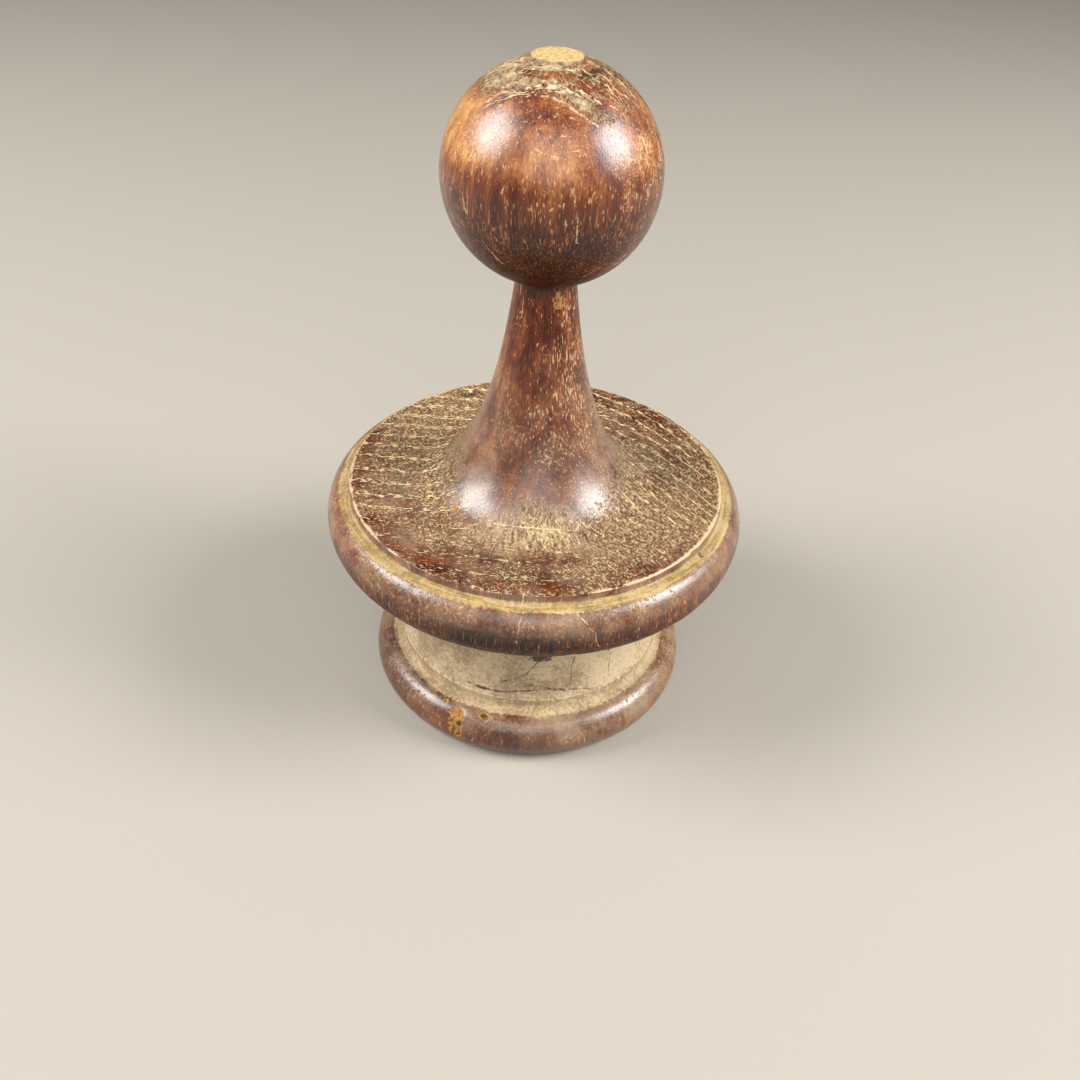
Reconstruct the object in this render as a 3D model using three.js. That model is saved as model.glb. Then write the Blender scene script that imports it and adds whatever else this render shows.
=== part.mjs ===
// A turned wooden finial: a ball on a slender neck, which flares into a round disc with a bead
// below it, and a narrower waist that stands on a second bead. It is turned from one block, so
// it is one solid of revolution. Millimetres, +Z up, the origin at the centre of the underside.

import * as THREE from 'three';

// Driving dimensions. A radius is measured from the turning axis, a level from the underside.

const overallHeight = 93.1;

const ballRadius = 13.57;
const ballLevel = 79.47;

// The stub where the work was held in the lathe, cut off and left bare on top of the ball.
const stubRadius = 3.1;
const stubChamfer = 0.2;

const neckRadius = 3.95;
const discRadius = 27.0;
const discLevel = 35.34;
const discEdgeRound = 0.3;

// The neck follows one curve. These two points pull it: the first keeps the neck slim, the
// second is level with the disc and makes the flare run out flat at flareRadius.
const neckPull = { radius: 6.1, level: 46.5 };
const flarePull = { radius: 11.2 };
const flareRadius = 18.1;

// A bead is half an ellipse that stands out from its shoulder.
const upperBead = { radius: 30.3, level: 30.08, bulge: 2.98, halfHeight: 4.09 };
const baseBead = { radius: 24.3, level: 3.55, bulge: 2.85, halfHeight: 3.55 };

// A quirk is the small hollow between a bead and the sharp edge above it.
const upperQuirk = { stepLevel: 34.45, beadAngle: 70 };
const baseQuirk = { stepLevel: 8.4, beadAngle: 84 };

const waistEdge = { radius: 20.2, level: 9.13 };
const waistTopRadius = 21.5;
const waistHollow = { lower: { radius: 18.4, level: 11.5 }, upper: { radius: 18.6, level: 21.5 } };

// How finely the round shapes are divided.

const sides = 60;
const ballSteps = 18;
const neckSteps = 13;
const beadSteps = 11;
const waistSteps = 8;
const quirkSteps = 3;

function point(radius, level) {
	return new THREE.Vector2(radius, level);
}

function arcPoints(centreRadius, centreLevel, halfWidth, halfHeight, fromDegrees, toDegrees, steps) {
	const from = THREE.MathUtils.degToRad(fromDegrees);
	const to = THREE.MathUtils.degToRad(toDegrees);
	return new THREE.EllipseCurve(centreRadius, centreLevel, halfWidth, halfHeight, from, to).getPoints(steps);
}

function beadPoints(bead, topDegrees) {
	const shoulder = bead.radius - bead.bulge;
	return arcPoints(shoulder, bead.level, bead.bulge, bead.halfHeight, -90, topDegrees, beadSteps);
}

function quirkPoints(beadTop, edgeRadius, stepLevel) {
	const corner = point(edgeRadius, beadTop.y);
	return new THREE.QuadraticBezierCurve(beadTop, corner, point(edgeRadius, stepLevel)).getPoints(quirkSteps);
}

// The half outline of the finial, from the middle of the underside to the middle of the top.

function outline() {
	const foot = beadPoints(baseBead, baseQuirk.beadAngle);
	const footQuirk = quirkPoints(foot.at(-1), waistEdge.radius, baseQuirk.stepLevel);

	const upperBeadBottom = upperBead.level - upperBead.halfHeight;
	const waist = new THREE.CubicBezierCurve(
		point(waistEdge.radius, waistEdge.level),
		point(waistHollow.lower.radius, waistHollow.lower.level),
		point(waistHollow.upper.radius, waistHollow.upper.level),
		point(waistTopRadius, upperBeadBottom),
	).getPoints(waistSteps);

	const collar = beadPoints(upperBead, upperQuirk.beadAngle);
	const collarQuirk = quirkPoints(collar.at(-1), discRadius, upperQuirk.stepLevel);
	const discEdge = [
		point(discRadius, discLevel - discEdgeRound),
		point(discRadius - discEdgeRound, discLevel),
	];

	const neckTop = ballLevel - Math.sqrt(ballRadius ** 2 - neckRadius ** 2);
	const neck = new THREE.CubicBezierCurve(
		point(flareRadius, discLevel),
		point(flarePull.radius, discLevel),
		point(neckPull.radius, neckPull.level),
		point(neckRadius, neckTop),
	).getPoints(neckSteps);

	const ballStart = THREE.MathUtils.radToDeg(Math.asin(neckRadius / ballRadius)) - 90;
	const ballEnd = 90 - THREE.MathUtils.radToDeg(Math.asin(stubRadius / ballRadius));
	const ball = arcPoints(0, ballLevel, ballRadius, ballRadius, ballStart, ballEnd, ballSteps);
	const stub = [
		point(stubRadius, overallHeight - stubChamfer),
		point(stubRadius - stubChamfer, overallHeight),
	];

	return withoutRepeats([
		point(0, 0),
		...foot,
		...footQuirk,
		...waist,
		...collar,
		...collarQuirk,
		...discEdge,
		...neck,
		...ball,
		...stub,
		point(0, overallHeight),
	]);
}

function withoutRepeats(points) {
	const smallestStep = 0.001;
	return points.filter((p, i) => i === 0 || p.distanceTo(points[i - 1]) > smallestStep);
}

function makeFinial() {
	const stainedHardwood = new THREE.MeshStandardMaterial({ color: '#5e3a29', roughness: 0.45, metalness: 0 });
	const geometry = new THREE.LatheGeometry(outline(), sides);
	geometry.rotateX(Math.PI / 2);
	const finial = new THREE.Mesh(geometry, stainedHardwood);
	finial.name = 'finial';
	return finial;
}

const model = new THREE.Group();
model.add(makeFinial());

export default model;
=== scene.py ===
# %% [markdown]
# A turned wooden finial, made in cells
#
# The real thing is one length of hardwood, turned on a lathe: a foot with a fat round
# bead, a plain hollow waist, a wide disc with a second bead round its rim, and a ball on
# a slender neck that flares out of the disc. It was stained dark, polished, and then worn
# for a century, so dust sits in its pores and hollows and the stain is rubbed thin.
# The script loads the measured solid first, because every piece is made around it.

import math

import bmesh
import bpy
import numpy as np
from mathutils import Matrix, Vector, noise


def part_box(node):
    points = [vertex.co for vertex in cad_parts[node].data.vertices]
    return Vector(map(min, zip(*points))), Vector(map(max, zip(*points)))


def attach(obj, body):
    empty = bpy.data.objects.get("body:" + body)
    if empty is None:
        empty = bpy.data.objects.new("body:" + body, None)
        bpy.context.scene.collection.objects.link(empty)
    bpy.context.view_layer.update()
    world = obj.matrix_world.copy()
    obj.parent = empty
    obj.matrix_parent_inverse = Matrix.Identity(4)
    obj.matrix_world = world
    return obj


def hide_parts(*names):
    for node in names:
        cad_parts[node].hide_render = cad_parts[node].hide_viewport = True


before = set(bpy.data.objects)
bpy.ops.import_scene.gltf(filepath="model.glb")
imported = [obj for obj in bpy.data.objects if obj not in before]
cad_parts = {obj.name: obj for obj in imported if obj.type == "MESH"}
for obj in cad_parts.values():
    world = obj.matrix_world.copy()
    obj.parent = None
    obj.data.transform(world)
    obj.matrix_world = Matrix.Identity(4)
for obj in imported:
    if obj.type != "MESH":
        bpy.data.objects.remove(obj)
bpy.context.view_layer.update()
low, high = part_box("finial")
MM = 0.001
print("the solid is", [round(side / MM, 2) for side in high - low], "mm")

# %% [markdown]
# The camera
#
# The photograph looks steeply down at the finial from about 18 cm, with the camera
# tipped a few degrees about its own axis. A camera that close makes the ball look large
# and the foot small, so its place matters as much as its angle. The place and the angles
# come from fitting a pinhole camera to the outlines of the ball, the disc and the foot.

# %% Place the camera
CAMERA_PLACE = Vector((1.1, -129.7, 125.8)) * MM
LOOK_DOWN = math.radians(38.38)
CAMERA_TIP = math.radians(3.26)
SENSOR = 36.0
LENS = 36.1
CLIP_START = 10 * MM

camera = bpy.data.objects.new("camera", bpy.data.cameras.new("camera"))
camera.data.lens = LENS
camera.data.sensor_width = SENSOR
camera.data.clip_start = CLIP_START
aim = Matrix.Rotation(math.radians(90) - LOOK_DOWN, 4, "X") @ Matrix.Rotation(CAMERA_TIP, 4, "Z")
camera.matrix_world = Matrix.Translation(CAMERA_PLACE) @ aim
bpy.context.scene.collection.objects.link(camera)
bpy.context.scene.camera = camera
print("the camera is", round(CAMERA_PLACE.length / MM), "mm from the foot")

# %% [markdown]
# Light and floor
#
# Two glows on the ball, on the beads and on the flare show two large soft lights, one
# high on each side and a little in front. Each becomes a square area light, turned to
# face the finial. A third, large and dim, hangs over the camera and reaches the waist
# under the disc. A dim even sky fills the shadows, as a pale room would. The floor is a
# plain pale sheet in matt paint, so it shows neither a pattern nor a reflection, and
# nothing but the finial draws the eye.


# %% A function that turns hex colours to linear light
def colour(code):
    """An sRGB hex colour as the linear RGBA that a shader socket takes."""
    parts = [int(code[i : i + 2], 16) / 255 for i in (1, 3, 5)]
    return [p / 12.92 if p <= 0.04045 else ((p + 0.055) / 1.055) ** 2.4 for p in parts] + [1.0]


print("half grey in linear light is", round(colour("#808080")[0], 3))

# %% Hang the soft lights
HEART = Vector((0.0, 0.0, 55.0)) * MM
LIGHT_DISTANCE = 0.62
LIGHTS = [  # name, direction from the finial, side in metres, watts
    ("left_soft_light", (-0.793, -0.129, 0.594), 0.34, 6.8),
    ("right_soft_light", (0.822, -0.143, 0.544), 0.32, 7.6),
    ("front_soft_light", (0.0, -0.79, 0.61), 0.50, 2.7),
]

for name, direction, side, watts in LIGHTS:
    lamp = bpy.data.lights.new(name, "AREA")
    lamp.shape = "SQUARE"
    lamp.size = side
    lamp.energy = watts
    hung = bpy.data.objects.new(name, lamp)
    hung.location = HEART + Vector(direction) * LIGHT_DISTANCE
    hung.rotation_euler = Vector(direction).to_track_quat("Z", "Y").to_euler()
    bpy.context.scene.collection.objects.link(hung)
print(len(LIGHTS), "lights hang", LIGHT_DISTANCE, "m away")

# %% Light the room evenly
SKY_STRENGTH = 0.30

world = bpy.data.worlds.new("pale_room")
world.use_nodes = True
sky = world.node_tree.nodes["Background"]
sky.inputs["Color"].default_value = colour("#e8e3da")
sky.inputs["Strength"].default_value = SKY_STRENGTH
bpy.context.scene.world = world
bpy.context.scene.view_settings.view_transform = "Standard"
print("the room gives", SKY_STRENGTH, "of its colour")

# %% Lay the pale floor
FLOOR_HALF = 2.0
FLOOR_ROUGH = 0.9

floor_mesh = bpy.data.meshes.new("floor")
bm = bmesh.new()
bmesh.ops.create_grid(bm, x_segments=1, y_segments=1, size=FLOOR_HALF)
bm.to_mesh(floor_mesh)
bm.free()
floor = bpy.data.objects.new("floor", floor_mesh)
floor_paint = bpy.data.materials.new("pale_matt_paint")
floor_paint.use_nodes = True
paint = floor_paint.node_tree.nodes["Principled BSDF"]
paint.inputs["Base Color"].default_value = colour("#908a80")
paint.inputs["Roughness"].default_value = FLOOR_ROUGH
floor.data.materials.append(floor_paint)
bpy.context.scene.collection.objects.link(floor)
print("the floor is", 2 * FLOOR_HALF, "m square")

# %% [markdown]
# The outline that the turner cut
#
# A turned piece is one outline swept round the lathe's axis. It could be carved from
# stacked cylinders, but their joins would show, so the outline comes first, from foot to
# tip: half ellipses for the two beads, short hollow quirks where each bead meets its
# step, long easy curves for the waist and the neck, and a true arc for the ball.
# Sizes are in millimetres: a radius from the axis and a level from the underside.

# %% The turner's sizes
BALL_RADIUS, BALL_LEVEL = 13.57, 79.47
STUB_RADIUS, STUB_CHAMFER = 3.1, 0.2
NECK_RADIUS = 3.95
DISC_RADIUS, DISC_LEVEL, DISC_EDGE_ROUND = 27.0, 35.34, 0.3
FLARE_RADIUS = 18.1
FLARE_PULL = (11.2, DISC_LEVEL)
NECK_PULL = (6.1, 46.5)
UPPER_BEAD, UPPER_LEVEL, UPPER_BULGE, UPPER_HALF = 30.3, 30.08, 2.98, 4.09
BASE_BEAD, BASE_LEVEL, BASE_BULGE, BASE_HALF = 24.3, 3.55, 2.85, 3.55
UPPER_STEP, BASE_STEP = 34.45, 8.4
WAIST_FOOT, WAIST_TOP_RADIUS = (20.2, 9.13), 21.5
WAIST_PULLS = [(18.4, 11.5), (18.6, 21.5)]
overall_height = high.z / MM
print("overall height", round(overall_height, 2), "mm from the frame")

# %% Arcs and curves for the outline
RING_GAP = 0.61


def arc(radius, level, across, up, first, last):
    """Points on an ellipse about (radius, level), from one angle to another in degrees."""
    length = math.radians(abs(last - first)) * math.sqrt((across**2 + up**2) / 2)
    steps = max(2, round(length / RING_GAP))
    angles = [math.radians(first + (last - first) * i / steps) for i in range(steps + 1)]
    return [Vector((radius + across * math.cos(a), level + up * math.sin(a))) for a in angles]


def curve(pulls):
    """Points on a Bézier curve of any degree, by blending its pulls again and again."""
    pulls = [Vector(p) for p in pulls]
    length = sum((b - a).length for a, b in zip(pulls, pulls[1:]))
    steps = max(2, round(length / RING_GAP))
    made = []
    for i in range(steps + 1):
        row = pulls
        while len(row) > 1:
            row = [a.lerp(b, i / steps) for a, b in zip(row, row[1:])]
        made.append(row[0])
    return made


print("a curve of three pulls:", len(curve([(0, 0), (5, 0), (5, 5)])), "points")

# %% The parts of the outline, foot to tip
MERGE_GAP = 0.02

neck_top = BALL_LEVEL - math.sqrt(BALL_RADIUS**2 - NECK_RADIUS**2)
neck_angle = math.degrees(math.asin(NECK_RADIUS / BALL_RADIUS)) - 90
stub_angle = math.degrees(math.acos(STUB_RADIUS / BALL_RADIUS))
waist_top = (WAIST_TOP_RADIUS, UPPER_LEVEL - UPPER_HALF)
foot_arc = arc(BASE_BEAD - BASE_BULGE, BASE_LEVEL, BASE_BULGE, BASE_HALF, -90, 84)
collar_arc = arc(UPPER_BEAD - UPPER_BULGE, UPPER_LEVEL, UPPER_BULGE, UPPER_HALF, -90, 70)
arris = (DISC_RADIUS, DISC_LEVEL - DISC_EDGE_ROUND)
disc_rim = (DISC_RADIUS - DISC_EDGE_ROUND, DISC_LEVEL)
shoulder = (STUB_RADIUS, overall_height - STUB_CHAMFER)
PARTS = {
    "underside": curve([(0, 0), (foot_arc[0].x, 0)])[::6],
    "foot bead": foot_arc,
    "foot quirk": curve([foot_arc[-1], (WAIST_FOOT[0], foot_arc[-1].y), (WAIST_FOOT[0], BASE_STEP)]),
    "waist": curve([WAIST_FOOT, *WAIST_PULLS, waist_top]),
    "collar bead": collar_arc,
    "collar quirk": curve([collar_arc[-1], (DISC_RADIUS, collar_arc[-1].y), (DISC_RADIUS, UPPER_STEP)]),
    "disc": curve([arris, (DISC_RADIUS, DISC_LEVEL), disc_rim])
    + curve([disc_rim, (FLARE_RADIUS, DISC_LEVEL)]),
    "neck": curve([(FLARE_RADIUS, DISC_LEVEL), FLARE_PULL, NECK_PULL, (NECK_RADIUS, neck_top)]),
    "ball": arc(0, BALL_LEVEL, BALL_RADIUS, BALL_RADIUS, neck_angle, stub_angle),
    "stub": [Vector(shoulder), Vector((STUB_RADIUS - STUB_CHAMFER, overall_height))],
    "tip": curve([(STUB_RADIUS - STUB_CHAMFER, overall_height), (0, overall_height)]),
}
outline = [Vector((0, 0))]
for run in PARTS.values():
    outline += [p for p in run if (p - outline[-1]).length > MERGE_GAP]
outline[-1].x = 0.0
print("the outline has", len(outline), "points")

# %% [markdown]
# The turned solid
#
# Spinning the outline once round the axis is the lathe's own motion. The last ring is
# merged into the first and the fans of points on the axis into one, so the skin is
# closed, and then the normals are recalculated, because a spin may turn it inside out.

# %% Spin the outline
SIDES = 360
WELD_GAP = 0.0001

bm = bmesh.new()
rings = [bm.verts.new((p.x * MM, 0, p.y * MM)) for p in outline]
cuts = [bm.edges.new(pair) for pair in zip(rings, rings[1:])]
bmesh.ops.spin(
    bm, geom=rings + cuts, cent=(0, 0, 0), axis=(0, 0, 1), angle=math.tau, steps=SIDES, use_merge=True
)
bmesh.ops.remove_doubles(bm, verts=bm.verts, dist=WELD_GAP * MM)
bmesh.ops.recalc_face_normals(bm, faces=bm.faces)
bm.normal_update()
print(len(bm.verts), "points,", sum(len(f.verts) - 2 for f in bm.faces), "triangles")

# %% [markdown]
# Measures of every point
#
# Wear, dust and chips are laid by rule: each rule asks how high a point is, how far from
# the axis, which way round it lies and how much it faces upwards. These measures are
# taken once, as arrays in millimetres and degrees, with the front of the photograph at
# minus 90 degrees. Soft steps and smooth noise turn the measures into irregular fields.

# %% Measure the points
points = np.array([v.co for v in bm.verts]) / MM
normals = np.array([v.normal for v in bm.verts])
radius = np.hypot(points[:, 0], points[:, 1])
level = points[:, 2]
azimuth = np.degrees(np.arctan2(points[:, 1], points[:, 0]))
facing_up = normals[:, 2]
print("azimuth from", round(azimuth.min()), "to", round(azimuth.max()))


# %% Soft steps, bands and swells
def rise(start, end, values):
    """0 before `start`, 1 after `end`, with an easy curve between."""
    t = np.clip((values - start) / (end - start), 0, 1)
    return t * t * (3 - 2 * t)


def band(start, end, soft, values):
    """1 from `start` to `end`, falling to 0 over `soft` on either side."""
    return rise(start - soft, start, values) * (1 - rise(end, end + soft, values))


def swell(size, seed):
    """Smooth noise from about -1 to 1 at every point, with swells `size` mm across."""
    shift = Vector((seed * 17.3, seed * 5.1, seed * 9.7))
    return np.array([noise.noise(Vector(p) / size + shift) for p in points])


print("a 9 mm swell reaches", round(float(np.abs(swell(9.0, 1)).max()), 2))


# %% A place on the surface, from a part, an azimuth and a level
def surface(part, around, place):
    """A point on a part, in mm. `place` is a level, but on the flat disc it is a radius."""
    runs = np.array([tuple(p) for p in PARTS[part]])
    key = runs[:, 0] if part == "disc" else runs[:, 1]
    order = np.argsort(key)
    r = np.interp(place, key[order], runs[order, 0])
    z = np.interp(place, key[order], runs[order, 1])
    a = math.radians(around)
    return np.array([r * math.cos(a), r * math.sin(a), z])


def patch(part, around, place, wide, tall):
    """A blot centred on a place: 1 in its middle, 0.5 at its edge, 0 at twice its size."""
    middle = surface(part, around, place)
    a = math.radians(around)
    east = np.array([-math.sin(a), math.cos(a), 0])
    offset = points - middle
    across = offset @ east
    rest = np.linalg.norm(offset - np.outer(across, east), axis=1)
    return np.clip(1 - 0.5 * np.hypot(across / (wide / 2), rest / (tall / 2)), 0, 1)


print("the ball's front is at", surface("ball", -90, BALL_LEVEL).round(1))

# %% [markdown]
# Growth rings
#
# The wood is ring-porous, like oak or ash: each year starts with a row of large pores.
# The disc and the top of the ball cut across those rows, so they show as pale dotted
# lines about 3 mm apart, level at the left and curling forwards at the right. One number
# per point says how far across the rings it is, in millimetres. It is kept as an
# attribute, so that the sunk rows in the mesh and the rows of dust in the material lie
# on the same lines.

# %% Number the rings
RING_SPACING = 3.04
RING_START = 2.0
RING_TILT = 0.05
RING_CURL, CURL_FROM = 0.032, 2.0
RING_LEAN = 0.03

bend = RING_TILT * points[:, 0] + RING_CURL * np.clip(points[:, 0] - CURL_FROM, 0, None) ** 2
wander = 0.5 * swell(9.0, 2) + 0.2 * swell(3.0, 3)
ring_mm = points[:, 1] + bend + RING_LEAN * (level - DISC_LEVEL) + RING_START + wander
row_gap = np.abs((ring_mm / RING_SPACING + 0.5) % 1 - 0.5) * RING_SPACING
row = 1 - rise(0.15, 0.55, row_gap)
end_grain = rise(0.45, 0.9, np.abs(facing_up))
above_rim = rise(34.6, 35.0, level)
on_flat = above_rim * (rise(10.5, 14.5, radius) + rise(87.0, 89.0, level))
on_flat *= 0.6 + 0.4 * rise(-15, -5, points[:, 1])
print("rings cross the disc from", round(ring_mm.min()), "to", round(ring_mm.max()), "mm")

# %% [markdown]
# Wear in the mesh
#
# The lathe left a slightly uneven skin, the soft rows of pores have sunk, the sharp rim
# of the disc is nicked, two splinters have gone from the foot, and there is a dent by
# the rim at the back and a gouge beside the stub. All of it takes wood away, so every
# move is inwards along the normal and the finial stays within its true size.

# %% How deep the wear is, in millimetres
SKIN_WAVE, PORE_SINK = 0.04, 0.04
RIM_NICK, RIM_WORN, BEAD_NICK = 0.30, 0.25, 0.12

inwards = SKIN_WAVE * (1 + swell(11.0, 4))
inwards += PORE_SINK * row * end_grain * on_flat
inwards += RIM_NICK * rise(0.25, 0.75, swell(2.6, 5)) * band(26.5, 27.1, 0.3, radius) * above_rim
inwards += RIM_WORN * patch("disc", -80, 26.8, 9, 1.6)
inwards += BEAD_NICK * rise(0.45, 0.8, swell(2.0, 6)) * rise(24, 26, radius)
print("wear all over is up to", round(float(inwards.max()), 2), "mm")

# %% Sink the dents and move the points inwards
DENTS = [  # part, azimuth, level (or radius on the disc), width, height, depth
    ("foot bead", -114.5, 6.2, 2.0, 1.8, 0.30),
    ("foot bead", -114.0, 4.2, 1.8, 1.7, 0.28),
    ("foot bead", -104.5, 6.85, 1.5, 0.9, 0.45),
    ("disc", 118, 24.6, 3.4, 1.5, 0.55),
    ("disc", 110, 22.6, 2.2, 1.8, 0.25),
    ("collar quirk", -33, 34.05, 0.9, 0.7, 0.30),
    ("ball", -38, 92.2, 3.4, 1.0, 0.45),
    ("ball", -75, 92.5, 2.4, 0.6, 0.15),
    ("ball", -150, 92.4, 2.6, 0.6, 0.22),
]
for part, around, place, wide, tall, depth in DENTS:
    inwards += depth * rise(0.35, 0.75, patch(part, around, place, wide, tall))
inwards *= rise(0.0, 0.6, level)
for vert, depth in zip(bm.verts, inwards):
    vert.co -= vert.normal * float(depth) * MM
bm.normal_update()
print("the deepest wear is", round(float(inwards.max()), 2), "mm")

# %% Name the piece and give it its mesh
mesh = bpy.data.meshes.new("turned_finial")
bm.to_mesh(mesh)
bm.free()
mesh.shade_smooth()
finial = bpy.data.objects.new("turned_finial", mesh)
bpy.context.scene.collection.objects.link(finial)
print("the piece is", finial.name)

# %% [markdown]
# Where the finish has changed
#
# A polished turning ages by place. Dust settles on what faces up and in the quirks, the
# ball and the beads are rubbed through to paler wood where they are held and dusted, and
# the hollow waist has gone matt. Each change could be painted on the mesh by hand. It is
# worked out instead as a field, about 0 to 1, on the points, and the material turns that
# into a ragged edge with fine noise. Blots that the photograph shows are listed by part,
# azimuth, level (or radius on the disc), width and height in millimetres. Only the
# differences between neighbours matter, so the amounts were set render by render.


# %% Gather blots into a field
def blots(*listed):
    """The strongest of several patches at each point."""
    return np.max([patch(*one) for one in listed], axis=0)


print("two blots reach", int((blots(("neck", 0, 50, 3, 3), ("neck", 90, 50, 3, 3)) > 0).sum()), "points")

# %% Masks for the parts, with soft borders at levels and radii of the outline
on_waist = band(9.2, 25.9, 0.3, level) * (1 - rise(21.5, 21.9, radius))
on_collar = rise(25.9, 26.1, level) * (1 - rise(33.8, 34.2, level)) * rise(21.9, 26.5, radius)
on_foot = 1 - rise(7.6, 8.4, level)
on_disc = rise(35.0, 35.3, level) * (1 - rise(38.0, 42.0, level))
on_neck = rise(38.0, 42.0, level) * (1 - rise(65.6, 66.4, level))
on_ball = rise(66.5, 66.9, level)
at_left = rise(112, 150, np.abs(azimuth))
at_right = 1 - rise(30, 68, np.abs(azimuth))
print("the disc is", round(float(on_disc.mean()) * 100), "% of the points")


# %% Add up tables of blots
def spread(table):
    """Groups of blots, each group by its own amount, added up."""
    return sum(amount * blots(*group) for amount, *group in table)


print("a blot of 0.5 reaches", spread([(0.5, ("ball", -90, 79, 4, 4))]).max().round(2))

# %% Tone of the stain, from 0, nearly black, to 1, rubbed through to golden wood, with painted shade and a painted dark reflection in places
ball_line = level + 1.5 * swell(3.0, 12)
foot_step = band(7.0, 9.2, 0.2, level) * (1 - rise(21.0, 22.0, radius))
collar_step = band(34.0, 35.1, 0.2, level) * band(26.9, 28.3, 0.3, radius)

tone = on_ball * (0.19 + 0.36 * rise(75.0, 86.0, ball_line) + 0.07 * at_left * rise(76, 83, level))
# Towards its underside the ball is darker still: painted shade.
tone += on_ball * (0.03 * at_right - 0.05 * (1 - rise(68, 74, level)))
tone += on_neck * (0.39 - 0.05 * rise(52, 62, level) + 0.04 * at_left + 0.05 * swell(5.0, 13))
tone += on_disc * (0.35 + 0.02 * rise(24.0, 26.0, radius))
# On the collar bead the low half is darker: partly a darker stain, partly a painted dark reflection of
# the surroundings.
tone += on_collar * (0.17 + 0.19 * rise(30.6, 32.2, level) + 0.12 * at_left + 0.06 * at_right)
tone += on_foot * (0.33 + 0.14 * at_right) + 0.36 * collar_step
tone += np.maximum(0.56 * on_waist, (0.45 - 0.33 * on_foot) * foot_step)
tone += 0.06 * swell(6.0, 11) - 0.10 * rise(88.5, 91.0, level)
print("tone from", round(float(tone.min()), 2), "to", round(float(tone.max()), 2))

# %% Blots paler or darker than the stain round them
TONE_BLOTS = [  # an amount, then the blots that it is for
    (0.20, ("ball", -158, 85.5, 9, 7), ("ball", -42, 71.5, 9, 3), ("ball", -84, 84.6, 7, 3)),
    (-0.10, ("ball", -118, 89.0, 9, 3), ("ball", -60, 86.5, 4, 5)),
    (
        0.20, ("collar bead", -50, 29.6, 14, 3), ("collar bead", -170, 29.5, 14, 5),
        ("collar bead", -20, 29, 16, 3),
    ),
    # Of these, the collar bead's low front is partly a painted dark reflection over a darker stain.
    (-0.12, ("neck", -88, 43.6, 7, 4), ("collar bead", -92, 29.6, 26, 3), ("foot bead", -100, 4.2, 9, 3)),
    # On the waist the tone is lower at its left and just above its foot, and at its top front, where it
    # is a painted shadow under the collar.
    (-0.22, ("waist", -150, 16, 16, 16), ("waist", -90, 22, 30, 6), ("waist", -90, 10.8, 24, 2.6)),
]
DARKER_DISC = [("disc", -85, 23, 44, 9), ("disc", 45, 22, 30, 14)]

tone += spread(TONE_BLOTS) - 0.07 * on_disc * blots(*DARKER_DISC)
print(len(TONE_BLOTS), "groups of blots, and darker wood on the disc")

# %% How far the fibres, the streaks and the polish show
low_ball = band(72, 77, 4, level)
grain = 0.12 + 0.14 * on_ball * low_ball + 0.05 * on_neck + 0.06 * on_collar
streaks = on_ball * (1.4 * low_ball - 0.4) + on_collar * (1 - rise(30.5, 31.5, level)) + 0.1 * on_foot
streaks += on_neck * (-0.4 + 0.6 * at_right) + 0.5 * swell(4.0, 17)
polish = 1.0 - 0.88 * on_ball * (1 - rise(69, 78, level)) - 0.5 * on_neck * rise(50, 62, level)
polish -= 0.8 * on_collar * (1 - rise(28.8, 30.6, level)) + 0.5 * on_disc * rise(19, 22, radius)
print("polish from", round(float(polish.min()), 2), "to", round(float(polish.max()), 2))

# %% The border of the dust on top of the ball, and the red places that it left
CAP_AROUND = [-180, -139, -124, -93, -73, -60, -38, 0, 90, 180]
CAP_BORDER = [89.0, 89.6, 90.4, 90.5, 89.3, 88.4, 88.4, 88.8, 89.6, 89.0]
RED_SPOTS = [
    ("ball", -128, 92.0, 2.8, 0.8),
    ("ball", -88, 92.1, 4.2, 0.8),
    ("ball", -60, 91.2, 2.8, 1.6),
    ("ball", -48, 89.6, 2.6, 1.6),
    ("ball", -32, 90.4, 2.4, 1.6),
]

above_cap = level - np.interp(azimuth, CAP_AROUND, CAP_BORDER)
print("the cap of dust covers", int((above_cap > 0).sum()), "points")

# %% Dust in crumbs
DISC_DUST = [
    (-0.10, ("disc", -90, 23, 40, 10)),
    (0.28, ("disc", -38, 18, 30, 22)),
    (0.30, ("disc", 125, 21, 20, 14)),
    (-0.50, ("disc", -131, 24.6, 12, 2.6), ("disc", -115, 24.0, 7, 2.0), ("disc", -157, 20.5, 4, 3.6)),
    (-0.45, ("disc", 178, 25.6, 18, 2.0), ("disc", -80, 25.0, 18, 2.4), ("disc", -45, 25.8, 12, 2.0)),
    (-0.24, ("disc", 45, 22, 30, 14), ("disc", -86, 19.4, 16, 6), ("disc", -155, 22, 10, 4)),
]
OTHER_DUST = [
    (0.40, ("neck", 178, 36.5, 16, 10)),
    (0.15, ("neck", -50, 37.5, 12, 6)),
    (-0.90, ("neck", -124, 39.2, 9, 8), ("neck", -50, 39.4, 9, 8)),
    (0.30, ("foot bead", -18, 5, 10, 5), ("collar bead", -128, 31.5, 16, 3)),
    (0.12, ("foot bead", -150, 6, 16, 3)),
    (-0.70, *RED_SPOTS),
]

dust = 0.10 + 0.10 * swell(6.0, 7) - 0.18 * on_ball + spread(OTHER_DUST)
dust += on_disc * (0.42 + 0.22 * swell(8.0, 8) + 0.18 * swell(2.8, 21) + spread(DISC_DUST))
dust += 0.80 * rise(-0.8, 0.7, above_cap + 0.7 * swell(3.0, 9)) * (1 - 0.30 * at_right)
dust += 0.14 * on_neck * (1 - rise(45, 56, level)) + 0.10 * on_collar * rise(31.0, 32.5, level)
dust += on_foot * (0.02 + 0.06 * rise(5.0, 7.0, level))
dust *= 1 - 0.4 * (1 - rise(0.0, 0.4, level))
print("mean dust", round(float(dust.mean()), 2))

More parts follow.
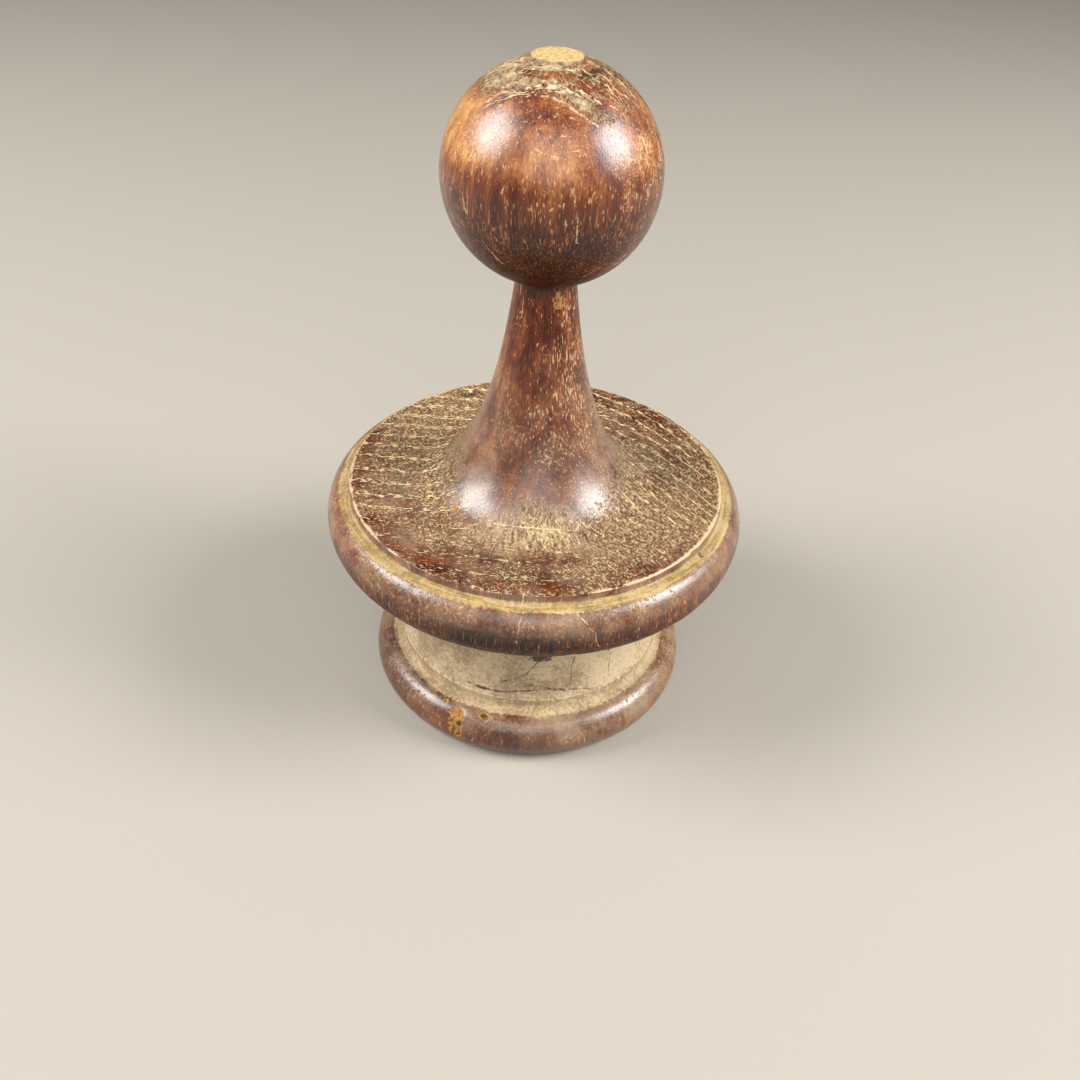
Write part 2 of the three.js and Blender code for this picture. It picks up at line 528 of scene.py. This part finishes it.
# %% A thin even veil, of dust on the tops of the beads, the flare and the disc, that also holds painted sheen and glow on the beads and painted bounce light low on the foot
FLARE_VEIL = [("neck", -88, 36.4, 16, 5), ("neck", 178, 38, 18, 12), ("neck", 0, 38, 18, 11)]

# On the foot the veil is paler on the right: partly dust, partly a painted glow of the right light.
foot_veil = 0.42 + 0.3 * swell(5.0, 19) + 0.45 * at_right + 0.25 * rise(6.4, 7.0, level)
disc_veil = 0.36 + 0.30 * swell(5.0, 20) - 0.3 * patch("disc", 45, 22, 30, 14)
# On the collar bead's top the veil is partly dust and partly a painted grey sheen.
veil = on_collar * rise(30.4, 31.8, level + 0.4 * swell(3.0, 22)) * (0.46 + 0.25 * swell(5.0, 18))
# The patch low on the foot's front right is painted light bounced up from below.
veil += on_foot * (foot_veil * rise(3.0, 6.0, level) + 0.5 * patch("foot bead", -54, 2.6, 36, 6))
veil += on_disc * (disc_veil - 0.16 * rise(24.0, 25.5, radius))
veil += on_neck * 0.22 * (1 - rise(46, 60, level)) + 0.7 * blots(*FLARE_VEIL)
veil += 0.6 * band(34.2, 35.0, 0.15, level) * band(26.9, 27.4, 0.2, radius)
print("the veil reaches", round(float(veil.max()), 2))

# %% Powdery grime that has gone matt, on the waist, its foot and the low front
POWDER_BLOTS = [
    (0.55, ("collar quirk", -166, 34.0, 7, 2.4), ("collar bead", -166, 33.3, 6, 1.6)),
    (-0.60, *RED_SPOTS),
]

powder = on_waist + 0.95 * band(6.9, 9.2, 0.35, level) * (1 - rise(20.6, 22.3, radius))
powder += on_foot * 0.50 * patch("foot bead", -76, 4.6, 9, 3.0)
powder += 0.46 * rise(-0.6, 1.2, above_cap + 0.5 * swell(2.6, 24)) * (1 - 0.5 * at_right)
powder += 0.08 * swell(4.0, 14) + spread(POWDER_BLOTS)
print("powder on", int((powder > 0.5).sum()), "points")

# %% Ochre dirt in the quirks
in_collar_quirk = band(33.6, 34.15, 0.25, level) * band(27.1, 28.2, 0.6, radius)
in_foot_quirk = band(7.0, 8.6, 0.3, level) * band(20.3, 21.6, 0.5, radius)
ochre = in_collar_quirk * (0.90 + 0.25 * swell(6.0, 10) - 0.4 * patch("collar quirk", -166, 34.0, 9, 3))
ochre = np.maximum(ochre, in_foot_quirk * (0.36 + 0.2 * swell(4.0, 23)))
print("ochre on", int((ochre > 0.5).sum()), "points")

# %% Pale edges, round the disc and at the waist's foot: worn, and round the disc also a painted glint of the side lights
# Round the disc the pale edge is strongest at the left and right, where the side lights glint on it.
EDGE_AROUND = [-180, -150, -120, -100, -85, -72, -30, 0, 60, 180]
EDGE_SHOW = [0.7, 0.7, 0.45, 0.42, 0.34, 0.55, 0.8, 0.6, 0.4, 0.6]

edge = band(26.72, 27.02, 0.15, radius) * rise(34.95, 35.2, level)
edge *= np.interp(azimuth, EDGE_AROUND, EDGE_SHOW) + 0.25 * swell(3.0, 16)
edge = np.maximum(edge, 0.62 * band(9.05, 9.3, 0.15, level) * band(20.0, 20.3, 0.3, radius))
print("worn edges on", int((edge > 0.4).sum()), "points")

# %% Bare wood, on the sawn stub and in the chips
CHIPS = [
    ("foot bead", -114.5, 6.0, 2.4, 2.6),
    ("foot bead", -114.0, 4.0, 2.2, 2.8),
    ("foot bead", -104.5, 6.85, 2.0, 1.2),
    ("foot bead", -121, 6.9, 0.9, 0.9),
    ("foot bead", -133, 6.3, 0.7, 0.7),
    ("neck", -135, 36.1, 0.9, 0.9),
    ("neck", -64, 64.6, 1.7, 1.9),
]

bare = np.maximum(rise(92.85, 92.95, level), 1.1 * blots(*CHIPS))
print("bare wood on", int((bare > 0.5).sum()), "points")

# %% Dark grime, in the holes and the gouge
GRIMY = [
    ("waist", -83.5, 16.5, 3.2, 1.3),
    ("ball", -38, 92.1, 4.8, 1.3),
    ("ball", -100, 92.6, 3.6, 0.3),
    ("collar quirk", -33, 34.05, 0.9, 0.7),
    ("disc", 118, 24.6, 3.2, 1.4),
    ("waist", -108, 9.8, 2.4, 0.5),
    ("foot bead", -105.2, 6.9, 0.6, 1.0),
    ("foot bead", -103.6, 6.9, 0.5, 0.8),
    ("foot bead", -113.0, 5.3, 0.8, 1.0),
    ("foot bead", -112.6, 3.6, 0.7, 0.9),
]

grime = blots(*GRIMY)
print("grime on", int((grime > 0.5).sum()), "points")

# %% Flecks: the share of pores that pale dust has filled, and on the neck's lit sides also painted glints
# Clusters of pale flecks on the neck, partly dust and partly painted glints.
NECK_FLECKS = [
    ("neck", -86, 50, 3.6, 8),
    ("neck", -90, 46.6, 6, 3),
    ("neck", -56, 55, 4, 24),
    ("neck", -74, 45.6, 5, 3),
]

flecks = on_ball * (0.20 * at_right + 0.18 * at_left + 0.15 * band(80, 86, 2, level))
flecks -= on_ball * 0.5 * (1 - rise(69, 75, level))
# On the neck the flecks gather on the right and the left, where the lights fall: partly dust in the
# pores, partly painted glints.
flecks += on_neck * (-0.20 + 0.50 * at_right + 0.18 * at_left) + 0.9 * blots(*NECK_FLECKS)
flecks += on_collar * (0.15 * at_left - 0.1) + 0.5 * patch("collar bead", -88, 31.3, 40, 0.8)
flecks += 0.1 * on_disc - 0.1 * on_foot + 0.15 * swell(5.0, 15)
print("flecks from", round(float(flecks.min()), 2), "to", round(float(flecks.max()), 2))

# %% Where the polish has crazed, and where the tool left marks
CRAZED = [("neck", -86, 46, 10, 10), ("collar bead", -110, 33, 40, 4), ("disc", -45, 17, 24, 16)]

crazed = on_ball * band(79.5, 87.5, 1.5, level) * (0.45 + 0.30 * at_right + 0.2 * at_left)
crazed += 0.8 * blots(*CRAZED)
tooled = patch("neck", -90, 35.9, 13, 4.0)
print("crazing on", int((crazed > 0.3).sum()), "points")

# %% [markdown]
# Scratches, seams and cracks
#
# A scratch is thinner than the gap between points, so neither the mesh nor a plain mask
# can hold it. The signed distance to the scratch can: it is almost straight across the
# scratch, so it survives between the points, and the material draws a crisp line where
# it passes through zero. A second field says where a line is near, and a third how pale.

# %% Lines by part, paleness, width in mm and the places that they pass
PALE, DARK = 1.0, 0.0
LINES = [
    ("waist", DARK, 0.22, [(-84, 16.2), (-87, 14.4), (-89.5, 13.3), (-91.5, 12.7), (-97, 11.9)]),
    ("waist", DARK, 0.16, [(-68, 16.2), (-69.5, 14.0), (-69, 12.5), (-70, 11.3)]),
    ("waist", DARK, 0.12, [(-51, 15.0), (-49, 14.0), (-50, 12.0)]),
    ("waist", DARK, 0.12, [(-88, 11.5), (-80, 10.9), (-72, 10.3), (-64, 9.7)]),
    ("waist", DARK, 0.24, [(-112, 9.9), (-100, 9.8), (-90, 10.4), (-79, 10.6), (-71, 10.0)]),
    (
        "collar bead", PALE, 0.18,
        [(-91.2, 33.6), (-91.9, 32.7), (-91.6, 31.9), (-92.4, 31), (-92.1, 30), (-92.6, 28.4)],
    ),
    ("collar bead", PALE, 0.14, [(-90, 33.2), (-88, 32.4), (-86.5, 31.4), (-86.8, 29.2)]),
    (
        "collar bead", PALE, 0.16,
        [(-76, 33.2), (-74.6, 32.5), (-74.2, 31.9), (-72.6, 31.3), (-72.9, 30.4), (-72.3, 29.6)],
    ),
    ("collar quirk", PALE, 0.20, [(-91.4, 34.45), (-91.5, 34.0)]),
    ("collar quirk", PALE, 0.35, [(-125, 34.3), (-124.5, 34.0)]),
    ("neck", PALE, 0.24, [(-107, 36.4), (-95, 36.5), (-85, 36.5), (-75, 36.3), (-67, 36.1)]),
    ("neck", PALE, 0.25, [(-141, 65.2), (-140, 61.6)]),
    ("neck", PALE, 0.22, [(-131, 65.0), (-130, 62.6)]),
    ("ball", PALE, 0.45, [(-139, 89.6), (-136, 90.2), (-124, 90.5), (-111, 90.5), (-93, 90.6)]),
    ("ball", PALE, 0.40, [(-93, 90.6), (-82, 90.1), (-73, 89.3), (-66, 88.6)]),
    (
        "ball", PALE, 0.35,
        [(-38, 92.2), (-27, 91.7), (-31, 90.5), (-22, 89.4), (-14, 88.1), (-13, 86), (-15, 83.9)],
    ),
    ("ball", PALE, 0.35, [(-53, 90.3), (-47, 89.6), (-38, 88.6), (-32, 87.1), (-31, 85.4)]),
    (
        "ball", PALE, 0.30,
        [(-146, 82.9), (-138.5, 80.8), (-135.4, 78.1), (-133, 76.2), (-126, 74.6), (-120, 72.8)],
    ),
    ("ball", PALE, 0.22, [(-61, 71.0), (-54, 72.4), (-42, 71.6), (-30, 71.0)]),
    ("ball", PALE, 0.30, [(-94.6, 85.8), (-86, 84.9), (-82.5, 83.6), (-78.5, 81.9)]),
    ("ball", PALE, 0.25, [(-89.4, 85.8), (-79, 86.1)]),
    ("ball", PALE, 0.22, [(-77.9, 81.3), (-76.1, 79.6), (-75.7, 77.2)]),
    ("ball", PALE, 0.30, [(-161.6, 85.3), (-158, 83.2), (-158.3, 80.3), (-155.2, 77.5)]),
    ("disc", PALE, 0.25, [(-122, 20.6), (-112, 19.0), (-104, 18.0), (-90, 17.5), (-78, 18.3)]),
]
print(len(LINES), "lines, the longest with", max(len(places) for *_, places in LINES), "places")

# %% Signed distances to the lines, in half widths
LINE_REACH = 1.4
FAR_SIDE, FAR = 9.0, 99.0

line_side = np.full(len(points), FAR_SIDE)
line_near = np.zeros(len(points))
line_pale = np.zeros(len(points))
nearest = np.full(len(points), FAR)
for part, pale, width, places in LINES:
    stops = []
    for (a, p), (b, q) in zip(places, places[1:]):
        stops += [surface(part, a + (b - a) * t, p + (q - p) * t) for t in (0.0, 0.5)]
    stops.append(surface(part, *places[-1]))
    for start, end in zip(stops, stops[1:]):
        along = end - start
        length = np.linalg.norm(along)
        offset = points - start
        t = np.clip(offset @ along / length**2, 0, 1)
        gap = np.linalg.norm(offset - np.outer(t, along), axis=1)
        signed = np.einsum("ij,ij->i", offset, np.cross(along / length, normals))
        closer = (gap < nearest) & (gap < LINE_REACH)
        nearest[closer] = gap[closer]
        line_side[closer] = signed[closer] / (width / 2)
        line_pale[closer] = pale
        line_near[closer] = 1 - rise(0.5, 1.0, gap[closer] / LINE_REACH)
print("the lines pass", int((line_near > 0).sum()), "points")

# %% Keep the fields on the mesh
FIELDS = {
    "ring_mm": ring_mm,
    "rows": end_grain * on_flat,
    "end_grain": end_grain * (1 - 0.65 * on_ball) * (1 - 0.65 * on_foot),
    "dust": dust,
    "powder": powder,
    "ochre": ochre,
    "tone": tone,
    "flecks": flecks,
    "grain": grain,
    "streaks": streaks,
    "polish": polish,
    "veil": veil,
    "crazed": crazed,
    "tooled": tooled,
    "edge": edge,
    "bare": bare,
    "grime": grime,
    "line_side": line_side,
    "line_near": line_near,
    "line_pale": line_pale,
}
for name, values in FIELDS.items():
    kept = finial.data.attributes.new(name, "FLOAT", "POINT")
    kept.data.foreach_set("value", np.asarray(values, np.float32))
print(len(FIELDS), "fields on the mesh")

# %% [markdown]
# The wood
#
# Stained and French-polished ring-porous hardwood. The eye reads it by its fibres, long
# streaks that run up the lathe's axis; by its pores, which are dashes on the side grain
# and dots on the end grain; by the stain, nearly black in the soft wood and red-brown in
# the hard; and by a soft gloss that stops wherever dust or bare wood starts. A photo of
# wood could be wrapped round it, but would smear where the surface turns. So all of the
# patterns read the object's own coordinates in millimetres, squeezed along the axis, and
# one pattern gives streaks on the side and specks on the disc, as in the real wood.

# %% A helper that adds a node
wood = bpy.data.materials.new("stained_polished_hardwood")
wood.use_nodes = True
tree = wood.node_tree


def add(kind, inputs=None, out=0, **settings):
    """Adds a node with its settings, sets or links its inputs, and gives back one output."""
    made = tree.nodes.new(kind)
    for name, value in settings.items():
        setattr(made, name, value)
    for name, value in (inputs or {}).items():
        if isinstance(value, bpy.types.NodeSocket):
            tree.links.new(value, made.inputs[name])
        else:
            made.inputs[name].default_value = value
    return made.outputs[out]


MATH, RANGE, MIX = "ShaderNodeMath", "ShaderNodeMapRange", "ShaderNodeMix"
NOISE, FIELD, VECTOR = "ShaderNodeTexNoise", "ShaderNodeAttribute", "ShaderNodeVectorMath"
MAPPING, COMBINE = "ShaderNodeMapping", "ShaderNodeCombineXYZ"
field = {name: add(FIELD, out="Fac", attribute_name=name) for name in FIELDS}
print("the wood reads", len(field), "fields")


# %% Ragged masks from smooth fields
def ragged(value, pushes, start, end):
    """A mask that is 0 at `start` and 1 at `end`, either way round, with a soft step.

    Each pattern in `pushes` moves the value up or down by as much as half of its amount,
    which frays the border of the mask.
    """
    middle = sum(amount for pattern, amount in pushes) / 2
    for pattern, amount in pushes:
        value = add(MATH, {0: pattern, 1: amount, 2: value}, operation="MULTIPLY_ADD")
    step = {"Value": value, "From Min": start + middle, "From Max": end + middle}
    return add(RANGE, step, interpolation_type="SMOOTHSTEP")


def lay(under, over, *masks):
    """One colour laid over another, as strongly as all its masks multiplied."""
    amount = masks[0]
    for mask in masks[1:]:
        amount = add(MATH, {0: amount, 1: mask}, operation="MULTIPLY")
    return add(MIX, {0: amount, 6: under, 7: over}, out=2, data_type="RGBA")


print("helpers for ragged masks and for layers")

# %% Coordinates in millimetres that waver a little, as fibres do
FIBRE_WAVE = 14.0
FIBRE_SWAY = 1.2

place_mm = add(VECTOR, {0: add("ShaderNodeTexCoord", out="Object"), "Scale": 1 / MM}, operation="SCALE")
sway = add(NOISE, {"Vector": place_mm, "Scale": 1 / FIBRE_WAVE, "Detail": 1.0}, out="Color")
sway = add(VECTOR, {0: sway, 1: (0.5, 0.5, 0.5)}, operation="SUBTRACT")
sway = add(VECTOR, {0: sway, 1: (FIBRE_SWAY, FIBRE_SWAY, 0)}, operation="MULTIPLY")
fibre_place = add(VECTOR, {0: place_mm, 1: sway}, operation="ADD")
across = add("ShaderNodeSeparateXYZ", {"Vector": place_mm}, out="X")
into, high_up = across.node.outputs["Y"], across.node.outputs["Z"]
print("fibres sway by up to", FIBRE_SWAY / 2, "mm")


# %% Noise in marks of a size
def marks(wide, deep, tall, turned=0.0, detail=2.0, roughness=0.55):
    """Noise whose marks measure about wide x deep x tall mm, turned about the axis by degrees."""
    turn = (0, 0, math.radians(turned))
    settings = {"Vector": fibre_place, "Scale": (wide, deep, tall), "Rotation": turn}
    sized = add(MAPPING, settings, vector_type="TEXTURE")
    return add(NOISE, {"Vector": sized, "Scale": 1.0, "Detail": detail, "Roughness": roughness})


broad = marks(1.3, 1.3, 14.0, detail=3.0)
fine = marks(0.22, 0.22, 4.5, detail=1.0)
pores = marks(0.22, 0.22, 1.1, detail=0.5)
long = marks(0.18, 0.18, 3.4, turned=50, detail=1.0)
crumbs = marks(0.50, 0.50, 0.50, detail=2.0, roughness=0.6)
cloud = marks(4.0, 4.0, 4.5, detail=3.0, roughness=0.6)
hatch_one = marks(0.20, 0.75, 0.75, turned=38, detail=1.0)
hatch_two = marks(0.20, 0.75, 0.75, turned=-30, detail=1.0)
print("eight patterns of marks, from 0.18 mm to 14 mm")

# %% Rows of pores, close along the growth rings
ROW_PORE_LONG, ROW_PORE_DEEP = 1.1, 0.26
ROW_FRAY = 0.5

frayed_rings = add(MATH, {0: crumbs, 1: ROW_FRAY, 2: field["ring_mm"]}, operation="MULTIPLY_ADD")
frayed_rings = add(MATH, {0: frayed_rings, 1: ROW_FRAY / 2}, operation="SUBTRACT")
row_place = add(COMBINE, {0: across, 1: frayed_rings})
row_size = (ROW_PORE_LONG, ROW_PORE_DEEP, 1.0)
row_place = add(MAPPING, {"Vector": row_place, "Scale": row_size}, vector_type="TEXTURE")
row_marks = add(NOISE, {"Vector": row_place, "Scale": 1.0, "Detail": 1.0})
from_row = add(MATH, {0: field["ring_mm"], 1: RING_SPACING / 2}, operation="PINGPONG")
row_near = add(MATH, {0: ragged(from_row, [], 0.75, 0.15), 1: field["rows"]}, operation="MULTIPLY")
print("rows every", RING_SPACING, "mm")

# %% [markdown]
# Stain and pores
#
# The stain went on dark and has been rubbed since, so its colour runs from nearly black
# to the gold of bare hardwood. One number, the shade, adds up the tone of the place, which
# also holds some painted shade and a painted dark reflection, the fibres, broad bands of
# harder wood and large clouds, and a ramp turns it into colour.
# Layers of open and filled pores then lie over it, each with its own mask.

# %% Stain: dark in the soft wood, thin where it is rubbed
STAINS = [
    (0.0, "#0c0200"),
    (0.22, "#380f03"),
    (0.42, "#5a270e"),
    (0.62, "#874f24"),
    (0.82, "#ae7a42"),
    (1.0, "#cda269"),
]
BAND_CHANGE, CLOUD_CHANGE, ROWS_DARKEN = 0.6, 0.45, 0.18

fibre_range = {"Value": fine, "From Min": 0.32, "From Max": 0.68, "To Min": -0.5, "To Max": 0.5}
fibres = add(RANGE, fibre_range, interpolation_type="SMOOTHSTEP")
shade = add(MATH, {0: fibres, 1: field["grain"], 2: field["tone"]}, operation="MULTIPLY_ADD")
for pattern, change in ((broad, BAND_CHANGE), (cloud, CLOUD_CHANGE), (row_near, -ROWS_DARKEN)):
    shade = add(MATH, {0: pattern, 1: change, 2: shade}, operation="MULTIPLY_ADD")
shade = add(MATH, {0: shade, 1: (BAND_CHANGE + CLOUD_CHANGE) / 2}, operation="SUBTRACT")
skin = add("ShaderNodeValToRGB", {0: shade})
tints = skin.node.color_ramp.elements
while len(tints) < len(STAINS):
    tints.new(0.5)
for tint, (at, code) in zip(tints, STAINS):
    tint.position = at
    tint.color = colour(code)
print("the stain has", len(tints), "tones")

# %% Open pores, dark and about 0.2 mm wide
open_pore = ragged(marks(0.20, 0.20, 1.3, turned=15, detail=1.0), [], 0.60, 0.68)
skin = lay(skin, colour("#240d05"), open_pore, 0.28)
print("open pores 0.2 mm wide")

# %% Pores that dust has filled, paler where the wood is paler; on the neck partly painted glints
FLECK_WEIGHT = 0.16

pale_pores = add(MATH, {0: field["flecks"], 1: FLECK_WEIGHT, 2: pores}, operation="MULTIPLY_ADD")
pale_pores = ragged(pale_pores, [(cloud, 0.30)], 0.70, 0.76)
pore_dust_and_glint = lay(colour("#8c6238"), colour("#d2b78c"), crumbs)
pore_dust_and_glint = lay(colour("#7a4720"), pore_dust_and_glint, ragged(shade, [], 0.16, 0.40))
skin = lay(skin, pore_dust_and_glint, pale_pores, 0.7)
print("filled pores about 1 mm long")

# %% Long streaks of rubbed wood
STREAK_WEIGHT = 0.06

streak = add(MATH, {0: field["streaks"], 1: STREAK_WEIGHT, 2: long}, operation="MULTIPLY_ADD")
streak_colour = lay(colour("#85481b"), colour("#bd8a50"), ragged(shade, [], 0.1, 0.5))
skin = lay(skin, streak_colour, ragged(streak, [], 0.64, 0.73), 0.65)
print("streaks about 3 mm long")

# %% Crazed polish: broken pale veins where the lacquer has cracked
CRAZE_SIZE = 1.5
VEIN = 0.022

craze = add(NOISE, {"Vector": fibre_place, "Scale": 1 / CRAZE_SIZE, "Detail": 1.5, "Distortion": 0.6})
from_vein = add(MATH, {0: craze, 1: 0.5}, operation="SUBTRACT")
from_vein = add(MATH, {0: from_vein}, operation="ABSOLUTE")
broken = ragged(field["crazed"], [(cloud, 1.6), (crumbs, 1.2)], 0.62, 0.80)
skin = lay(skin, colour("#c8aa7d"), ragged(from_vein, [], VEIN, VEIN / 2), broken, 0.48)
print("veins about", CRAZE_SIZE, "mm apart")

# %% [markdown]
# Dust and dirt
#
# Dust lies in three ways. A thin even veil greys the stain and stays glossy; on the beads it
# is also painted sheen, glow and bounce light. Crumbs and fine crossed scratches cover the
# disc and the top of the ball, and are matt. Powder has settled for good on the waist. Ochre
# dirt is packed in the quirks, drawn out in rings by polishing. Each could be a texture of
# its own, but their borders fray in the same way, so each is one mask, from its field and a
# few patterns, with its colour laid on.

# %% A thin veil of dust that greys the stain, and on the beads painted sheen, glow and bounce light
skin = lay(skin, colour("#82705a"), field["veil"], ragged(cloud, [(crumbs, 0.4)], 0.2, 0.7))
print("the veil is smooth, and stays glossy")

# %% A film of dust in crumbs
hatch = add(MATH, {0: hatch_one, 1: hatch_two}, operation="MAXIMUM")
film = ragged(crumbs, [(field["dust"], 0.62), (cloud, 0.45), (hatch, 0.30)], 0.38, 0.60)
film_colour = lay(colour("#513c28"), colour("#846c4e"), ragged(hatch, [], 0.50, 0.64))
skin = lay(skin, film_colour, film, 0.82)
print("dust in crumbs of about 0.5 mm")

# %% Fine crossed scratches on the end grain, and dust in the rows of pores
# Real scratches are finer. They are drawn about 0.2 mm wide so that they show.
skin = lay(skin, colour("#2e1c0f"), ragged(hatch, [], 0.50, 0.40), field["end_grain"], 0.50)
skin = lay(skin, colour("#bfa780"), ragged(hatch, [], 0.62, 0.68), film, field["end_grain"], 0.58)
row_light = add(MATH, {0: row_near, 1: 0.15, 2: row_marks}, operation="MULTIPLY_ADD")
skin = lay(skin, colour("#cdb485"), ragged(row_light, [], 0.66, 0.72), field["rows"], 0.8)
print("crossed scratches, and rows of dust every", RING_SPACING, "mm")

# %% Powdery grime
settled = ragged(field["powder"], [(crumbs, 0.4), (cloud, 0.30)], 0.35, 0.62)
pale_powder = ragged(field["tone"], [(cloud, 0.8), (crumbs, 0.9)], 0.25, 0.75)
skin = lay(skin, lay(colour("#826f56"), colour("#aa9a7e"), pale_powder), settled, 0.92)
print("matt powder on the waist and its foot")

# %% Ochre dirt, drawn out in rings by the turner's tool and by polishing
RING_OF_DIRT, DIRT_LONG = 0.3, 5.0

from_axis = add(VECTOR, {0: place_mm, 1: (1, 1, 0)}, operation="MULTIPLY")
axis_distance = add(VECTOR, {0: from_axis}, out="Value", operation="LENGTH")
dirt_size = (DIRT_LONG, DIRT_LONG, RING_OF_DIRT)
dirt_place = add(MAPPING, {"Vector": place_mm, "Scale": dirt_size}, vector_type="TEXTURE")
dirt_ring = add(MATH, {0: axis_distance, 1: RING_OF_DIRT}, operation="DIVIDE")
drawn_out = {"Vector": dirt_place, "W": dirt_ring, "Scale": 1.0, "Detail": 2.0}
drawn = add(NOISE, drawn_out, noise_dimensions="4D")
dirt = ragged(field["ochre"], [(crumbs, 0.7), (drawn, 0.7)], 0.25, 0.62)
pale_dirt = ragged(drawn, [(cloud, 0.8), (crumbs, 0.7)], 0.25, 0.75)
dirt_colour = lay(colour("#78643f"), colour("#a8956c"), pale_dirt)
dirt_colour = lay(dirt_colour, colour("#a38146"), ragged(broad, [], 0.45, 0.70), 0.4)
skin = lay(skin, dirt_colour, dirt, 0.85)
print("ochre in rings", RING_OF_DIRT, "mm apart")

# %% [markdown]
# Tool marks, pale edges, chips and lines
#
# These few things are placed where the photograph has them. Their fields say roughly
# where, and the masks fray them, so that none looks drawn. Bare wood comes before the
# dark grime, because the grime sits in holes inside the chips.

# %% Marks that the tool left across the flare
TOOL_MARK_DEGREES = 1.43
TOOL_MARK_LONG = 2.0

angle = add(MATH, {0: into, 1: across}, operation="ARCTAN2")
tool_place = add(COMBINE, {0: angle, 1: axis_distance})
tool_size = (math.radians(TOOL_MARK_DEGREES), TOOL_MARK_LONG, 1.0)
tool_place = add(MAPPING, {"Vector": tool_place, "Scale": tool_size}, vector_type="TEXTURE")
tool_marks = ragged(add(NOISE, {"Vector": tool_place, "Scale": 1.0, "Detail": 1.0}), [], 0.42, 0.58)
tool_marks = add(MATH, {0: tool_marks, 1: field["tooled"]}, operation="MULTIPLY")
skin = lay(skin, colour("#b59d76"), tool_marks, 0.5)
print("tool marks every", TOOL_MARK_DEGREES, "degrees or so")

# %% Pale edges, worn and partly a painted glint, then bare wood and grime
worn_edge_and_glint = ragged(field["edge"], [(crumbs, 0.8), (cloud, 0.5)], 0.40, 0.62)
skin = lay(skin, colour("#b99c7b"), worn_edge_and_glint, 0.85)
raw = ragged(field["bare"], [(crumbs, 0.9)], 0.45, 0.58)
on_stub = ragged(high_up, [], 85.0, 90.0)
raw_shade = lay(colour("#644220"), colour("#9a7c4c"), on_stub)
raw_light = lay(colour("#946d3e"), colour("#ab966a"), on_stub)
skin = lay(skin, lay(raw_shade, raw_light, ragged(crumbs, [(fine, 0.5)], 0.42, 0.54)), raw)
skin = lay(skin, colour("#1d0f08"), ragged(field["grime"], [(crumbs, 1.2)], 0.42, 0.60), 0.8)
print("bare wood is paler on the stub than in the chips")

# %% Scratches and cracks, broken up by the crumbs
from_line = add(MATH, {0: field["line_side"]}, operation="ABSOLUTE")
unbroken = add(MATH, {0: field["line_pale"], 1: -0.20, 2: cloud}, operation="MULTIPLY_ADD")
line = ragged(from_line, [(crumbs, 4.0)], 1.3, 0.3)
for mask in (ragged(field["line_near"], [], 0.1, 0.6), ragged(unbroken, [(crumbs, 0.8)], 0.22, 0.40)):
    line = add(MATH, {0: line, 1: mask}, operation="MULTIPLY")
line_colour = lay(colour("#3a2a1c"), colour("#cdb388"), field["line_pale"])
line_strength = add(RANGE, {"Value": field["line_pale"], "To Min": 0.8, "To Max": 0.6})
skin = lay(skin, line_colour, line, line_strength)
print("the material draws the", len(LINES), "lines")

# %% [markdown]
# Gloss and fine relief
#
# The polish is a clear coat over the stain. It ends wherever dust, powder, dirt or bare
# wood begins, and it is worn thin under the ball and on the low bead, so the coat's
# weight follows the same masks as the colours. Fine relief is too small for the mesh:
# fibres, crumbs, pores and lines of a few hundredths of a millimetre go into a bump.

# %% Polish where nothing lies on it
BARE_ROUGH, MATT_ROUGH = 0.42, 0.85
FILM_MATT = 0.85

matt = add(MATH, {0: film, 1: FILM_MATT}, operation="MULTIPLY")
for cover in (raw, settled, dirt):
    matt = add(MATH, {0: matt, 1: cover}, operation="MAXIMUM")
rough = add(RANGE, {"Value": matt, "To Min": BARE_ROUGH, "To Max": MATT_ROUGH})
shiny = add(MATH, {0: 1.0, 1: matt}, operation="SUBTRACT")
coat = add(MATH, {0: shiny, 1: field["polish"]}, operation="MULTIPLY")
print("roughness from", BARE_ROUGH, "to", MATT_ROUGH)

# %% Relief in hundredths of a millimetre
film_crumbs = add(MATH, {0: film, 1: crumbs}, operation="MULTIPLY")
RELIEF_MM = [(fine, 0.012), (film_crumbs, 0.05), (open_pore, -0.008), (line, -0.03), (tool_marks, 0.02)]

relief = 0.0
for pattern, height in RELIEF_MM:
    relief = add(MATH, {0: pattern, 1: height * MM, 2: relief}, operation="MULTIPLY_ADD")
bump = add("ShaderNodeBump", {"Height": relief, "Distance": 1.0, "Strength": 1.0})
print(len(RELIEF_MM), "patterns in the relief")

# %% Join it all to the shader
WOOD_IOR, INNER_SHINE, POLISH_ROUGH = 1.5, 0.12, 0.30

shader = tree.nodes["Principled BSDF"]
shader.inputs["IOR"].default_value = WOOD_IOR
shader.inputs["Specular IOR Level"].default_value = INNER_SHINE
shader.inputs["Coat Roughness"].default_value = POLISH_ROUGH
tree.links.new(skin, shader.inputs["Base Color"])
tree.links.new(rough, shader.inputs["Roughness"])
tree.links.new(coat, shader.inputs["Coat Weight"])
tree.links.new(bump, shader.inputs["Normal"])
tree.links.new(bump, shader.inputs["Coat Normal"])
finial.data.materials.append(wood)
print("the wood has", len(tree.nodes), "nodes")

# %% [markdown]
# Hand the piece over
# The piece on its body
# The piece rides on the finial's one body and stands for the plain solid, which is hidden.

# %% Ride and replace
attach(finial, "root")
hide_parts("finial")
